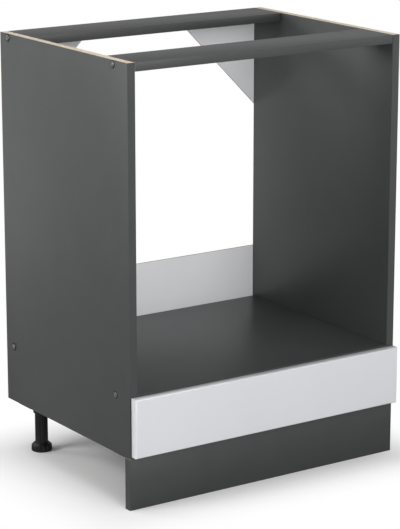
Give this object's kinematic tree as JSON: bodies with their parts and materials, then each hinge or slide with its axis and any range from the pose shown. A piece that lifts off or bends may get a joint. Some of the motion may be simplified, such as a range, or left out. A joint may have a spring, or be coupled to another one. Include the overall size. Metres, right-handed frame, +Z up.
{
  "type": "under-counter oven housing",
  "caption": "Base cabinet frame for a built-in oven: two dark side panels, shelf, flat top rails, thin back braces, pale fascia below the oven, clip-on plinth and adjustable legs.",
  "frame": {"origin": "on the floor, under the middle of the unit's overall box", "axes": "+Z up, front facing -Y, +X to the right seen from the front"},
  "size_m": [0.604, 0.4666, 0.816],
  "materials": {
    "anthracite_board": "fine matt melamine on chipboard, raw top edges",
    "anthracite_edging": "matt edging strip",
    "light_grey_hdf": "smooth lacquered fibreboard",
    "white_fascia": "smooth satin foil on fibreboard",
    "black_plastic": "moulded, satin",
    "grey_cap_plastic": "moulded, satin",
    "zinc_plated_steel": "bright zinc plate",
    "beech": "turned, raw"
  },
  "bodies": {
    "carcass": {"left_side_panel": "anthracite_board", "right_side_panel": "anthracite_board", "oven_shelf": "anthracite_board", "front_top_rail": "anthracite_board", "rear_top_rail": "anthracite_board", "left_side_edge_band": "anthracite_edging", "right_side_edge_band": "anthracite_edging", "shelf_edge_band": "anthracite_edging", "front_rail_edge_band": "anthracite_edging", "rear_rail_edge_band": "anthracite_edging", "rear_back_strip": "light_grey_hdf", "left_back_gusset": "light_grey_hdf", "right_back_gusset": "light_grey_hdf", "back_strip_screws": "zinc_plated_steel", "gusset_screws": "zinc_plated_steel", "left_connector_screws": "zinc_plated_steel", "right_connector_screws": "zinc_plated_steel", "left_cover_caps": "grey_cap_plastic", "right_cover_caps": "grey_cap_plastic", "left_dowels": "beech", "right_dowels": "beech", "front_left_leg_bracket": "black_plastic", "front_right_leg_bracket": "black_plastic", "rear_left_leg_bracket": "black_plastic", "rear_right_leg_bracket": "black_plastic", "front_left_leg_tube": "black_plastic", "front_right_leg_tube": "black_plastic", "rear_left_leg_tube": "black_plastic", "rear_right_leg_tube": "black_plastic", "leg_bracket_screws": "zinc_plated_steel", "fascia_panel": "white_fascia", "left_fascia_angle": "zinc_plated_steel", "right_fascia_angle": "zinc_plated_steel", "fascia_angle_screws": "zinc_plated_steel"},
    "plinth": {"plinth_board": "anthracite_board", "plinth_end_bands": "anthracite_edging", "left_plinth_clip": "black_plastic", "right_plinth_clip": "black_plastic", "plinth_clip_screws": "zinc_plated_steel"},
    "front_left_foot_body": {"front_left_foot": "black_plastic"},
    "front_right_foot_body": {"front_right_foot": "black_plastic"},
    "rear_left_foot_body": {"rear_left_foot": "black_plastic"},
    "rear_right_foot_body": {"rear_right_foot": "black_plastic"}
  },
  "joints": [
    {"name": "plinth_pull", "type": "slide", "parent": "carcass", "child": "plinth", "axis": [0, -1, 0], "range_m": [0, 0.08]},
    {"name": "front_left_foot_height", "type": "slide", "parent": "carcass", "child": "front_left_foot_body", "axis": [0, 0, 1], "range_m": [0, 0.009]},
    {"name": "front_right_foot_height", "type": "slide", "parent": "carcass", "child": "front_right_foot_body", "axis": [0, 0, 1], "range_m": [0, 0.009]},
    {"name": "rear_left_foot_height", "type": "slide", "parent": "carcass", "child": "rear_left_foot_body", "axis": [0, 0, 1], "range_m": [0, 0.009]},
    {"name": "rear_right_foot_height", "type": "slide", "parent": "carcass", "child": "rear_right_foot_body", "axis": [0, 0, 1], "range_m": [0, 0.009]}
  ]
}
